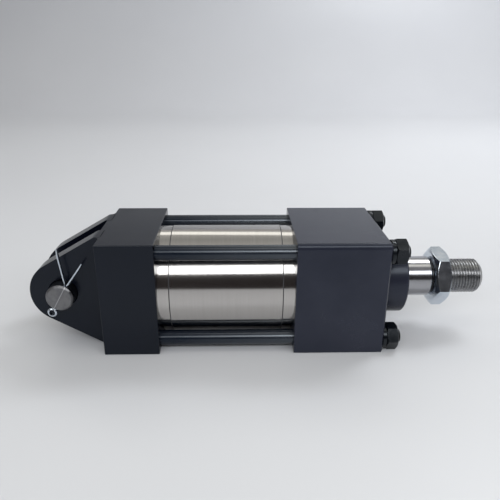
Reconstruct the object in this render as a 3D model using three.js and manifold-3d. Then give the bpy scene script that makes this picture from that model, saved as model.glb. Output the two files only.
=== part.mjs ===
// Tie-rod hydraulic cylinder with a double-ear rear clevis, a clevis pin and a male-threaded rod end.
// Millimetres. +X runs along the rod, away from the clevis; +Z is up; z = 0 is where the covers stand.
import * as THREE from "three";
import { mergeVertices } from "three/addons/utils/BufferGeometryUtils.js";
import Module from "manifold-3d";

const wasm = await Module();
wasm.setup();

// ---------- driving dimensions ----------
const SQUARE = 78; // side of both square covers
const REAR_LENGTH = 36.5;
const FRONT_LENGTH = 60;
const REAR_EDGE = 0.4; // chamfer on every edge of the rear cover
const FRONT_EDGE = 1.8; // chamfer round the front cover's outer face
const FRONT_ROUND = 4.5; // rounding of its front top edge
const ROUND_FACETS = 6;
const TUBE_SHOWN = 89.5; // tube length between the covers

const BORE_R = 31.5;
const TUBE_R = 37;
const TUBE_END_R = 36.7; // turned-down ends of the tube
const TUBE_END_SHOWN = 8.5;
const SEAT_DEPTH = 6; // how far the tube sits in each cover
const SPIGOT_PROUD = 3.5; // how far each cover's spigot stands past its face
const CHAMBER_R = 18; // oil chamber in each cover
const REAR_WALL = 8; // between the rear chamber and the clevis

const STROKE = 50;
const PISTON_LENGTH = 32;
const PISTON_R = 31;
const STUB_R = 9; // rod's threaded stub, which carries the piston
const ROD_R = 14;
const THREAD_R = 12;
const RELIEF_R = 10.8;
const ROD_SHOULDER = 38.5; // front face to the end of the full rod diameter, rod in
const THREAD_START = 39;
const ROD_END = 74.5;
const ROD_CHAMFER = 1.5;

const TIE_R = 5;
const TIE_OFFSET = 30.8; // tie rod axes from the cylinder's axis, in Y and in Z
const TIE_DEPTH = 20; // length screwed into the rear cover
const TIE_PROUD = 12.5; // tie rod end past the front face
const TIE_CHAMFER = 1;
const WASHER_THICK = 2.5;
const WASHER_R = 8.1;
const WASHER_SPLIT = 1; // width of the gap in a spring washer
const TIE_NUT_FLATS = 16;
const TIE_NUT_THICK = 8;
const LOCK_NUT_FLATS = 36;
const LOCK_NUT_THICK = 11;
const LOCK_NUT_TURN = -0.15;
const PISTON_NUT_FLATS = 27;
const PISTON_NUT_THICK = 9;
const NUT_FACE = 0.47; // radius of a nut's round face, as a share of its width across flats
const NUT_CHAMFER = Math.PI / 6;

const GLAND_DEPTH = 30;
const GLAND_R = 22;
const NOSE_R = 25;
const NOSE_LENGTH = 18;
const LAND_R = ROD_R + 0.6; // gland's bore between the grooves
const POCKET_R = 19; // bottom of the seal and wiper grooves
const BUSH_R = 17;
const BUSH_FROM_FACE = 3;
const WIPER_LIP = 0.8; // how far the wiper's lip stands past the nose

const EAR_R = 21.8; // round end of each ear, about the pin
const EAR_TAPER = Math.PI / 6;
const EAR_GAP = 20;
const EAR_THICK = 14;
const GAP_FLOOR = 1.9; // floor of the gap, from the cover's face
const EAR_ROOT = 2; // how far an ear's plate runs into the cover
const PIN_R = 9;
const PIN_TO_COVER = 27.1;
const PIN_PROUD = 9; // pin's end past the ear's outer face
const PIN_CHAMFER = 1.2;
const SPLIT_INSET = 3.5; // split pin's hole from the pin's end
const SPLIT_R = 1.4;
const SPLIT_ANGLE = Math.PI / 3; // split pin's hole above the horizontal
const EYE_R = 3.3;
const EYE_HOLE_R = 1.95;
const EYE_FROM_PIN = 0.9; // gap between the eye and the clevis pin
const LONG_TIP = { along: 29.6, across: -15.1 }; // ends of a split pin's legs, from the pin's axis
const SHORT_TIP = { along: 28.1, across: 2.4 };

const PORT_R = 7;
const PORT_FROM_END = { rear: 15, front: 18 }; // port axis from the cover's left end
const PLUG_LENGTH = 11;
const PLUG_SUNK = 0.5; // plug's face below the cover's side
const PLUG_SOCKET = 8; // across the socket's flats

const SEAL_FLOOR_R = 26; // bottoms of the piston's grooves
const WEAR_FLOOR_R = 29;
const SEAL_WIDTH = 6.5;
const WEAR_WIDTH = 7;
const GROOVE_GAP = 2;

const O_RING = 3; // width of an O-ring's groove
const SMALL_RING_FLOOR = 2; // depth of the grooves for the gland's and the piston's own O-rings
const O_RING_SLACK = 0.15; // how far an O-ring stays short of the wall that it seals on
const FIT = 0.3; // radial gap between pieces that sit in one another
const RUNNING_FIT = 0.1; // radial gap around the rod
const LARGE = 40; // facets of a large turned piece
const HIDDEN = 32; // facets of a piston or ring that sits inside
const SMALL = 20; // facets of a small turned piece

// ---------- stations along X, with the overall length centred on x = 0 ----------
const LENGTH = EAR_R + PIN_TO_COVER + REAR_LENGTH + TUBE_SHOWN + FRONT_LENGTH + ROD_END;
const HALF = SQUARE / 2;
const X_PIN = EAR_R - LENGTH / 2;
const X_BACK = X_PIN + PIN_TO_COVER;
const X_REAR = X_BACK + REAR_LENGTH;
const X_FRONT = X_REAR + TUBE_SHOWN;
const X_FACE = X_FRONT + FRONT_LENGTH;
const X_PISTON = X_REAR + SPIGOT_PROUD + FIT;
const Y_EAR = EAR_GAP / 2 + EAR_THICK;
const Y_PIN = Y_EAR + PIN_PROUD;
const Y_SPLIT = Y_PIN - SPLIT_INSET;

if (X_PISTON + PISTON_LENGTH + STROKE > X_FRONT - SPIGOT_PROUD) throw new Error("stroke does not fit");

// ---------- finishes ----------
function finish(color, roughness, metalness) {
  return () => new THREE.MeshStandardMaterial({ color, roughness, metalness });
}
const blackCoat = finish(0x1c1f27, 0.4, 0.3);
const blackOxide = finish(0x17181d, 0.32, 0.6);
const groundSteel = finish(0xb5b0a8, 0.3, 1);
const chrome = finish(0xd4d5d7, 0.08, 1);
const zincPlate = finish(0xaab2bc, 0.25, 1);
const turnedSteel = finish(0x8f8f91, 0.38, 1);
const bronze = finish(0xa9823f, 0.4, 0.9);
const nitrile = finish(0x161616, 0.7, 0);
const polyurethane = finish(0x2b4f7d, 0.5, 0);
const wearBand = finish(0x8a6f4c, 0.6, 0);

// ---------- turning geometry into solids ----------
const axes = (x, y, z) => new THREE.Matrix4().makeBasis(
  new THREE.Vector3(...x), new THREE.Vector3(...y), new THREE.Vector3(...z));
const Z_TO_X = axes([0, 1, 0], [0, 0, 1], [1, 0, 0]);
const Z_TO_Y = axes([1, 0, 0], [0, 0, -1], [0, 1, 0]);
const LATHE_TO_X = axes([0, 1, 0], [1, 0, 0], [0, 0, -1]);
const LATHE_TO_Y = axes([1, 0, 0], [0, 1, 0], [0, 0, 1]);

function solid(geometry) {
  geometry.deleteAttribute("normal");
  geometry.deleteAttribute("uv");
  const merged = mergeVertices(geometry);
  return new wasm.Manifold(new wasm.Mesh({
    numProp: 3,
    vertProperties: merged.attributes.position.array,
    triVerts: new Uint32Array(merged.index.array),
  }));
}

function cut(body, ...tools) {
  return tools.reduce((left, tool) => left.subtract(tool), body);
}

function join(body, ...pieces) {
  return pieces.reduce((whole, piece) => whole.add(piece), body);
}

// A turned solid: the outline holds [station, radius] pairs, clockwise when the station runs right.
function turned(outline, facets = LARGE, direction = LATHE_TO_X) {
  const points = outline.map(([station, radius]) => new THREE.Vector2(radius, station));
  if (outline[0][1] > 0) points.push(points[0].clone());
  const lathe = new THREE.LatheGeometry(points, facets);
  return solid(lathe.applyMatrix4(direction));
}

const bar = (from, to, radius, facets, direction) =>
  turned([[from, 0], [from, radius], [to, radius], [to, 0]], facets, direction);

function chamferedSquare(edge) {
  const flat = HALF - edge;
  return [[flat, HALF], [-flat, HALF], [-HALF, flat], [-HALF, -flat],
    [-flat, -HALF], [flat, -HALF], [HALF, -flat], [HALF, flat]];
}

// A square whose front top corner is an arc.
function roundedSquare(radius) {
  const outline = [[-HALF, -HALF], [HALF, -HALF], [HALF, HALF]];
  for (let i = 0; i <= ROUND_FACETS; i += 1) {
    const angle = Math.PI / 2 * (1 + i / ROUND_FACETS);
    outline.push([radius - HALF + radius * Math.cos(angle), HALF - radius + radius * Math.sin(angle)]);
  }
  return outline;
}

// A prism along X whose ends are chamfered by edge; the outline holds [y, z] pairs.
function cover(from, to, outline, edge) {
  const section = new THREE.Shape(outline.map(([y, z]) => new THREE.Vector2(y, z)));
  const block = new THREE.ExtrudeGeometry(section, {
    depth: to - from - 2 * edge,
    bevelThickness: edge,
    bevelSize: edge,
    bevelOffset: -edge,
    bevelSegments: 1,
  });
  return solid(block.translate(0, 0, from + edge).applyMatrix4(Z_TO_X));
}

// A hexagonal bar along X; turn is the angle of one corner above the front (-Y) side.
function hexBar(from, to, flats, turn) {
  const corner = flats / Math.sqrt(3);
  const prism = new THREE.CylinderGeometry(corner, corner, to - from, 6);
  prism.translate(0, (from + to) / 2, 0).applyMatrix4(LATHE_TO_X);
  return solid(prism.rotateX(-turn - Math.PI / 2));
}

// A hex nut with its corners turned off at both faces.
function hexNut(from, to, flats, bore, turn) {
  const corner = flats / Math.sqrt(3) + FIT;
  const faceR = NUT_FACE * flats;
  const drop = (corner - faceR) * Math.tan(NUT_CHAMFER);
  const envelope = turned(
    [[from, 0], [from, faceR], [from + drop, corner], [to - drop, corner], [to, faceR], [to, 0]], SMALL);
  return cut(hexBar(from, to, flats, turn).intersect(envelope), bar(from - 1, to + 1, bore, SMALL));
}

// A seal with a V groove in the face that the oil pushes on.
function lipSeal(closedFace, openFace, inner, outer, facets) {
  const lip = (outer - inner) / 4;
  const bottom = closedFace + (openFace - closedFace) / 2;
  const outline = [[closedFace, inner], [closedFace, outer], [openFace, outer], [openFace, outer - lip],
    [bottom, (inner + outer) / 2], [openFace, inner + lip], [openFace, inner]];
  return turned(openFace > closedFace ? outline : outline.reverse(), facets);
}

// A ring of six-sided section, from the inner radius to the outer.
function oRing(middle, inner, outer) {
  const half = (outer - inner) / 2;
  const outline = [];
  for (let i = 0; i < 6; i += 1) {
    const angle = Math.PI * (7 / 6 - i / 3);
    outline.push([middle + half * Math.cos(angle), inner + half + half * Math.sin(angle)]);
  }
  return turned(outline, HIDDEN);
}

const ring = (from, to, inner, outer, facets) =>
  turned([[from, inner], [from, outer], [to, outer], [to, inner]], facets);

function geometryOf(body) {
  const mesh = body.getMesh();
  const geometry = new THREE.BufferGeometry();
  geometry.setAttribute("position", new THREE.BufferAttribute(mesh.vertProperties, 3));
  geometry.setIndex(new THREE.BufferAttribute(mesh.triVerts, 1));
  return geometry;
}

const moved = (body, x, y, z, turn = 0) => solid(geometryOf(body).rotateY(turn).translate(x, y, z));

// ---------- the assembly ----------
const cylinder = new THREE.Group();
cylinder.name = "tie_rod_cylinder";

function groupAt(name, x, y, z, parent) {
  const group = new THREE.Group();
  group.name = name;
  group.position.set(x, y, z);
  parent.add(group);
  return group;
}

const onAxis = groupAt("on_axis", 0, 0, HALF, cylinder);

// Adds a body to the assembly, or to a group of it, as a mesh with a material of its own.
function add(name, body, material, parent = onAxis) {
  const geometry = geometryOf(body).toNonIndexed();
  geometry.computeVertexNormals();
  const mesh = new THREE.Mesh(geometry, material());
  mesh.name = name;
  parent.add(mesh);
  return mesh;
}

const corners = [
  { place: "front_top", y: -TIE_OFFSET, z: TIE_OFFSET, turn: 0.49 },
  { place: "front_bottom", y: -TIE_OFFSET, z: -TIE_OFFSET, turn: 0 },
  { place: "back_top", y: TIE_OFFSET, z: TIE_OFFSET, turn: 0.3 },
  { place: "back_bottom", y: TIE_OFFSET, z: -TIE_OFFSET, turn: 0 },
];

// The seat that a cover has for the tube, towards +X or -X from the cover's face.
function tubeSeat(face, outward) {
  const floor = face - outward * SEAT_DEPTH;
  const tip = face + outward * SPIGOT_PROUD;
  const past = face + outward;
  const recess = ring(Math.min(floor, past), Math.max(floor, past), CHAMBER_R / 2, TUBE_END_R + FIT);
  const groove = face - outward * SPIGOT_PROUD / 2;
  const groovedAway = ring(groove - O_RING / 2, groove + O_RING / 2, BORE_R - O_RING, BORE_R + 1);
  const spigot = cut(bar(Math.min(floor, tip), Math.max(floor, tip), BORE_R - FIT), groovedAway);
  return { recess, spigot, groove };
}

function tieHoles(from, to, radius) {
  const hole = bar(from, to, radius, SMALL);
  return corners.map(({ y, z }) => moved(hole, 0, y, z));
}

const crossBar = (from, to, radius, x, facets = SMALL) =>
  moved(bar(from, to, radius, facets, LATHE_TO_Y), x, 0, 0);

// rear cover with both ears, and the web between their roots
function earPair() {
  const rise = (HALF - EAR_R * Math.cos(EAR_TAPER)) / Math.tan(EAR_TAPER);
  const xTaper = rise - EAR_R * Math.sin(EAR_TAPER);
  const upper = Math.PI / 2 + EAR_TAPER;
  const side = new THREE.Shape();
  side.moveTo(PIN_TO_COVER + EAR_ROOT, -HALF);
  side.lineTo(PIN_TO_COVER + EAR_ROOT, HALF);
  side.lineTo(xTaper, HALF);
  side.absarc(0, 0, EAR_R, upper, 2 * Math.PI - upper, false);
  side.lineTo(xTaper, -HALF);
  side.closePath();
  const plate = new THREE.ExtrudeGeometry(side, {
    depth: EAR_THICK, bevelEnabled: false, curveSegments: SMALL });
  const ear = solid(plate.applyMatrix4(Z_TO_Y));
  const web = new THREE.BoxGeometry(GAP_FLOOR + EAR_ROOT, EAR_GAP + EAR_THICK, SQUARE);
  web.translate(X_BACK + (EAR_ROOT - GAP_FLOOR) / 2, 0, 0);
  return join(moved(ear, X_PIN, -Y_EAR, 0), moved(ear, X_PIN, EAR_GAP / 2, 0), solid(web));
}

const rearSeat = tubeSeat(X_REAR, 1);
const rearPortX = X_BACK + PORT_FROM_END.rear;
const rearBlock = cut(cover(X_BACK, X_REAR, chamferedSquare(REAR_EDGE), REAR_EDGE), rearSeat.recess);
const rearCover = cut(
  join(rearBlock, rearSeat.spigot, earPair()),
  bar(X_BACK + REAR_WALL, X_REAR + SPIGOT_PROUD + 1, CHAMBER_R),
  ...tieHoles(X_REAR - TIE_DEPTH - 1, X_REAR + 1, TIE_R + FIT),
  crossBar(-HALF, HALF, PIN_R + 2 * RUNNING_FIT, X_PIN, LARGE),
  crossBar(0, HALF + 1, PORT_R, rearPortX),
);
add("rear_cover", rearCover, blackCoat);

// front cover, whose tube end is left square
const frontSeat = tubeSeat(X_FRONT, -1);
const frontPortX = X_FRONT + PORT_FROM_END.front;
const excess = new THREE.BoxGeometry(2 * FRONT_EDGE, 2 * SQUARE, 2 * SQUARE);
const frontBlock = cut(
  cover(X_FRONT - FRONT_EDGE, X_FACE, roundedSquare(FRONT_ROUND), FRONT_EDGE),
  solid(excess.translate(X_FRONT - FRONT_EDGE, 0, 0)),
  frontSeat.recess,
);
const frontCover = cut(
  join(frontBlock, frontSeat.spigot),
  bar(X_FRONT - SPIGOT_PROUD - 1, X_FACE, CHAMBER_R),
  bar(X_FACE - GLAND_DEPTH, X_FACE + 1, GLAND_R + FIT),
  ...tieHoles(X_FRONT - 1, X_FACE + 1, TIE_R + 2 * FIT),
  crossBar(0, HALF + 1, PORT_R, frontPortX),
);
add("front_cover", frontCover, blackCoat);

// tube and its static seals
const tubeFrom = X_REAR - SEAT_DEPTH;
const tubeTo = X_FRONT + SEAT_DEPTH;
add("barrel_tube", turned([[tubeFrom, BORE_R], [tubeFrom, TUBE_END_R], [X_REAR + TUBE_END_SHOWN, TUBE_END_R],
  [X_REAR + TUBE_END_SHOWN, TUBE_R], [X_FRONT - TUBE_END_SHOWN, TUBE_R],
  [X_FRONT - TUBE_END_SHOWN, TUBE_END_R], [tubeTo, TUBE_END_R], [tubeTo, BORE_R]]), groundSteel);
const tubeRing = (seat) => oRing(seat.groove, BORE_R - O_RING + 0.2, BORE_R - O_RING_SLACK);
add("tube_o_ring_rear", tubeRing(rearSeat), nitrile);
add("tube_o_ring_front", tubeRing(frontSeat), nitrile);

// tie rods, nuts and spring washers
const tieFrom = X_REAR - TIE_DEPTH;
const tieTo = X_FACE + TIE_PROUD;
const tieEndR = TIE_R - TIE_CHAMFER;
const nutFrom = X_FACE + WASHER_THICK;
for (const { place, y, z, turn } of corners) {
  const corner = groupAt(`tie_${place}`, 0, y, z, onAxis);
  const rod = turned([[tieFrom, 0], [tieFrom, tieEndR], [tieFrom + TIE_CHAMFER, TIE_R],
    [tieTo - TIE_CHAMFER, TIE_R], [tieTo, tieEndR], [tieTo, 0]], SMALL);
  const washer = ring(X_FACE, nutFrom, TIE_R + FIT, WASHER_R, SMALL);
  const split = new THREE.BoxGeometry(2 * WASHER_THICK, 2 * WASHER_R, WASHER_SPLIT);
  split.translate(X_FACE, WASHER_R, 0).rotateX(turn);
  const nut = hexNut(nutFrom, nutFrom + TIE_NUT_THICK, TIE_NUT_FLATS, TIE_R + FIT, turn);
  add(`tie_rod_${place}`, rod, blackOxide, corner);
  add(`spring_washer_${place}`, cut(washer, solid(split)), blackOxide, corner);
  add(`tie_nut_${place}`, nut, blackOxide, corner);
}

// rod gland with its bush, seal and wiper
const glandFrom = X_FACE - GLAND_DEPTH;
const noseEnd = X_FACE + NOSE_LENGTH;
const sealFrom = X_FACE + 1;
const sealTo = X_FACE + 7;
const wiperFrom = X_FACE + 11;
const bushTo = X_FACE - BUSH_FROM_FACE;
const ringFrom = glandFrom + 4;
const ringTo = ringFrom + O_RING;
const ringFloor = GLAND_R - SMALL_RING_FLOOR;
add("rod_gland", turned([[glandFrom, BUSH_R], [glandFrom, GLAND_R], [ringFrom, GLAND_R],
  [ringFrom, ringFloor], [ringTo, ringFloor], [ringTo, GLAND_R], [X_FACE, GLAND_R], [X_FACE, NOSE_R],
  [noseEnd - 1, NOSE_R], [noseEnd, NOSE_R - 1], [noseEnd, POCKET_R], [wiperFrom, POCKET_R],
  [wiperFrom, LAND_R], [sealTo, LAND_R], [sealTo, POCKET_R], [sealFrom, POCKET_R], [sealFrom, LAND_R],
  [bushTo, LAND_R], [bushTo, BUSH_R]]), blackCoat);
const glandRing = oRing((ringFrom + ringTo) / 2, ringFloor + FIT / 2, GLAND_R + FIT - O_RING_SLACK);
add("gland_o_ring", glandRing, nitrile);
const onRod = ROD_R + RUNNING_FIT;
const inPocket = POCKET_R - FIT;
const lipEnd = noseEnd + WIPER_LIP;
add("rod_bush", ring(glandFrom, bushTo - FIT, onRod, BUSH_R - FIT), bronze);
add("rod_seal", lipSeal(sealTo - FIT, sealFrom + FIT, onRod, inPocket, LARGE), polyurethane);
add("rod_wiper", turned([[wiperFrom + FIT, onRod], [wiperFrom + FIT, inPocket], [noseEnd - 1, inPocket],
  [lipEnd, ROD_R + 1], [lipEnd, onRod]]), nitrile);

// plugs in the ports
for (const [name, x] of [["port_plug_rear", rearPortX], ["port_plug_front", frontPortX]]) {
  const plug = crossBar(HALF - PLUG_LENGTH, HALF - PLUG_SUNK, PORT_R - FIT, x);
  const socketR = PLUG_SOCKET / Math.sqrt(3);
  const socket = new THREE.CylinderGeometry(socketR, socketR, PLUG_LENGTH, 6).translate(x, HALF, 0);
  add(name, cut(plug, solid(socket)), zincPlate);
}

// piston with its seals
const pistonTo = X_PISTON + PISTON_LENGTH;
const wearFrom = X_PISTON + (PISTON_LENGTH - WEAR_WIDTH) / 2;
const wearTo = wearFrom + WEAR_WIDTH;
const rearSealTo = wearFrom - GROOVE_GAP;
const frontSealFrom = wearTo + GROOVE_GAP;
const rearGroove = { from: rearSealTo - SEAL_WIDTH, to: rearSealTo, floor: SEAL_FLOOR_R };
const wearGroove = { from: wearFrom, to: wearTo, floor: WEAR_FLOOR_R };
const frontGroove = { from: frontSealFrom, to: frontSealFrom + SEAL_WIDTH, floor: SEAL_FLOOR_R };
const grooves = [rearGroove, wearGroove, frontGroove];
const stubRing = X_PISTON + PISTON_LENGTH / 2;
const piston = cut(
  bar(X_PISTON, pistonTo, PISTON_R, HIDDEN),
  bar(X_PISTON - 1, pistonTo + 1, STUB_R + FIT, HIDDEN),
  ring(stubRing - O_RING / 2, stubRing + O_RING / 2, STUB_R, STUB_R + FIT + SMALL_RING_FLOOR, HIDDEN),
  ...grooves.map(({ from, to, floor }) => ring(from, to, floor, PISTON_R + 1, HIDDEN)),
);
const sealR = BORE_R - FIT;
const sealInnerR = SEAL_FLOOR_R + FIT;
const rearSeal = lipSeal(rearGroove.to - FIT, rearGroove.from + FIT, sealInnerR, sealR, HIDDEN);
const frontSeal = lipSeal(frontGroove.from + FIT, frontGroove.to - FIT, sealInnerR, sealR, HIDDEN);
add("piston_seal_rear", rearSeal, polyurethane);
add("piston_seal_front", frontSeal, polyurethane);
const wearRing = ring(wearFrom + FIT, wearTo - FIT, WEAR_FLOOR_R + FIT, sealR, HIDDEN);
add("piston_wear_ring", wearRing, wearBand);
add("piston", piston, turnedSteel);
add("piston_o_ring", oRing(stubRing, STUB_R + RUNNING_FIT, STUB_R + SMALL_RING_FLOOR), nitrile);

// rod, from its threaded stub to its threaded end
const stubEnd = X_PISTON - PISTON_NUT_THICK - 2;
const shoulder = X_FACE + ROD_SHOULDER;
const lockFrom = X_FACE + THREAD_START;
const rodEnd = X_FACE + ROD_END;
add("piston_rod", turned([[stubEnd, 0], [stubEnd, STUB_R - 1], [stubEnd + 1, STUB_R], [pistonTo, STUB_R],
  [pistonTo, ROD_R], [shoulder - ROD_CHAMFER, ROD_R], [shoulder, ROD_R - ROD_CHAMFER],
  [shoulder, RELIEF_R], [lockFrom, RELIEF_R], [lockFrom, THREAD_R], [rodEnd - 2 * ROD_CHAMFER, THREAD_R],
  [rodEnd, THREAD_R - 2 * ROD_CHAMFER], [rodEnd, 0]]), chrome);
const pistonNut = hexNut(X_PISTON - PISTON_NUT_THICK, X_PISTON, PISTON_NUT_FLATS, STUB_R + FIT, 0);
add("piston_nut", pistonNut, blackOxide);
const lockNut = hexNut(lockFrom, lockFrom + LOCK_NUT_THICK, LOCK_NUT_FLATS, THREAD_R + FIT, LOCK_NUT_TURN);
add("rod_lock_nut", lockNut, zincPlate);

// clevis pin
const clevis = groupAt("pin_axis", X_PIN, 0, 0, onAxis);
const splitHole = bar(-HALF, HALF, SPLIT_R + FIT, SMALL / 2);
const pinBody = turned([[-Y_PIN, 0], [-Y_PIN, PIN_R - PIN_CHAMFER], [PIN_CHAMFER - Y_PIN, PIN_R],
  [Y_PIN - PIN_CHAMFER, PIN_R], [Y_PIN, PIN_R - PIN_CHAMFER], [Y_PIN, 0]], LARGE, LATHE_TO_Y);
const splitHoles = [-Y_SPLIT, Y_SPLIT].map((y) => moved(splitHole, 0, y, 0, -SPLIT_ANGLE));
add("clevis_pin", cut(pinBody, ...splitHoles), turnedSteel, clevis);

// Half-round leg from the pin's hole to its tip; side is the side of the hole's axis that it lies on.
function splitLeg(side, tip) {
  const half = new THREE.Shape();
  half.absarc(0, 0, SPLIT_R, 0, Math.PI, false);
  if (side < 0) half.setFromPoints(half.getPoints(4).map(({ x, y }) => new THREE.Vector2(-x, -y)));
  const path = new THREE.CatmullRomCurve3([
    new THREE.Vector3(PIN_R - 2, 0, 0),
    new THREE.Vector3(PIN_R + 1.5, 0, 0),
    new THREE.Vector3(tip.along, tip.across, 0),
  ]);
  return solid(new THREE.ExtrudeGeometry(half, {
    steps: 6, curveSegments: 4, bevelEnabled: false, extrudePath: path }));
}

// split pins, one near each end of the clevis pin; the far one points the other way
const eyeX = -PIN_R - EYE_FROM_PIN - EYE_R;
const eyeRing = turned([[-SPLIT_R, EYE_HOLE_R], [-SPLIT_R / 2, EYE_R], [SPLIT_R / 2, EYE_R],
  [SPLIT_R, EYE_HOLE_R]], SMALL, LATHE_TO_Y);
const eye = solid(geometryOf(eyeRing).rotateX(Math.PI / 2).translate(eyeX, 0, 0));
const stem = bar(eyeX + (EYE_HOLE_R + EYE_R) / 2, PIN_R, SPLIT_R, SMALL / 2);
const splitPin = join(stem, eye, splitLeg(-1, LONG_TIP), splitLeg(1, SHORT_TIP));
const flatPin = solid(geometryOf(splitPin).rotateX(-Math.PI / 2));
for (const [name, y, turn] of [["split_pin_front", -Y_SPLIT, 0], ["split_pin_back", Y_SPLIT, Math.PI]]) {
  const mesh = add(name, flatPin, zincPlate, clevis);
  mesh.position.y = y;
  mesh.rotation.y = turn - SPLIT_ANGLE;
}

export default cylinder;
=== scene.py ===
import math

import bmesh
import bpy
from mathutils import Euler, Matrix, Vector


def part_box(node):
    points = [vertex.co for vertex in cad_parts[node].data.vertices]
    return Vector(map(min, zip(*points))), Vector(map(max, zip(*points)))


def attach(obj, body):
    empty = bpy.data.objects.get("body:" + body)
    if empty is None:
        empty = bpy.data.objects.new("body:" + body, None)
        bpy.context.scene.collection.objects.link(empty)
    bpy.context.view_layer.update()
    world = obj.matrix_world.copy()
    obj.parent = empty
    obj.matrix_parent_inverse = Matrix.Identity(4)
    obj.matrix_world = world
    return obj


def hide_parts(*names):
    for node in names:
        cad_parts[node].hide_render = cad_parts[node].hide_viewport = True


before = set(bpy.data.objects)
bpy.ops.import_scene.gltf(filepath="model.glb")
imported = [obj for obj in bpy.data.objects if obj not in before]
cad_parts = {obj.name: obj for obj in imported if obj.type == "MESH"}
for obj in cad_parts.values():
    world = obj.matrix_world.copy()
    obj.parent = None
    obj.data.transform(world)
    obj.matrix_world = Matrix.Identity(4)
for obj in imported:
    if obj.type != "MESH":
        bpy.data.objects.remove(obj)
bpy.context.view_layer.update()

MM = 0.001
TAU = 2 * math.pi

# ---------- places and sizes, worked out from the frame ----------
SPIGOT = 3.5 * MM  # how far each cover's spigot stands past its face
rear_lo, rear_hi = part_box("rear_cover")
front_lo, front_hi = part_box("front_cover")
tube_lo, tube_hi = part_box("barrel_tube")
gland_lo, gland_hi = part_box("rod_gland")
rod_lo, rod_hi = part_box("piston_rod")
pin_lo, pin_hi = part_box("clevis_pin")
lock_lo, lock_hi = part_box("rod_lock_nut")

SIDE = front_hi.z - front_lo.z
HALF = SIDE / 2
AXIS = front_lo.z + HALF
X_REAR = rear_hi.x - SPIGOT
X_FRONT = front_lo.x + SPIGOT
X_FACE = front_hi.x
BARREL = X_FRONT - X_REAR
TUBE_R = (tube_hi.z - tube_lo.z) / 2
TUBE_END_R = TUBE_R - 0.3 * MM
TUBE_END_SHOWN = 7.8 * MM
NOSE_R = (gland_hi.z - gland_lo.z) / 2
ROD_R = (rod_hi.z - rod_lo.z) / 2
PIN_R = (pin_hi.z - pin_lo.z) / 2
X_PIN = (pin_lo.x + pin_hi.x) / 2
EAR_R = X_PIN - rear_lo.x
EAR_GAP = 20 * MM
EAR_THICK = 14 * MM
GAP_FLOOR = 1.9 * MM
EAR_TAPER = math.radians(30)
PIN_TO_COVER = 27.1 * MM
X_BACK = X_PIN + PIN_TO_COVER
Y_PIN = pin_hi.y
SPLIT_ANGLE = math.radians(60)  # the way the split pins' holes run, above the X axis
ROOT_FILLET = 3 * MM
THREAD_R = 12 * MM
THREAD_PITCH = 2 * MM
TIE_PITCH = 1.5 * MM
TIE_NUT_FLATS = 16 * MM
LOCK_NUT_FLATS = 36 * MM
LOCK_NUT_TURN = -0.15
TUBE_WALL = 5.5 * MM
GLAND_POCKET_R = 19 * MM
X_SHOULDER = X_FACE + 38.5 * MM
RELIEF_R = 10.8 * MM
STUB_R = 9 * MM
WIRE_R = 1.4 * MM
PLUG_KEY = 8 * MM
PLUG_KEY_DEPTH = 5 * MM
HOLE_CHAMFER = 0.6 * MM
PIN_CHAMFER = 1.2 * MM
FRONT_CHAMFER = 1.2 * MM  # round the front cover's outer face
REAR_TOP_ROUND = (0.7 * MM, 0.9 * MM)  # depth and height of the rounded front top edge
FRONT_TOP_ROUND = (3.0 * MM, 4.4 * MM)

LENS = 37.794
CAMERA_OFFSET = Vector((0.6588, -4.356, 2.0033))  # from the tube's left end, in cover sides
CAMERA_TURN = (68.194, -0.312, -1.471)  # degrees about X, Y and Z

CORNERS = {
    "front_top": (0.49, 1.1),
    "front_bottom": (0.0, 0.4),
    "back_top": (0.3, 2.2),
    "back_bottom": (0.0, 3.0),
}  # a nut corner's angle above the front side, and where its thread starts


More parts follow.
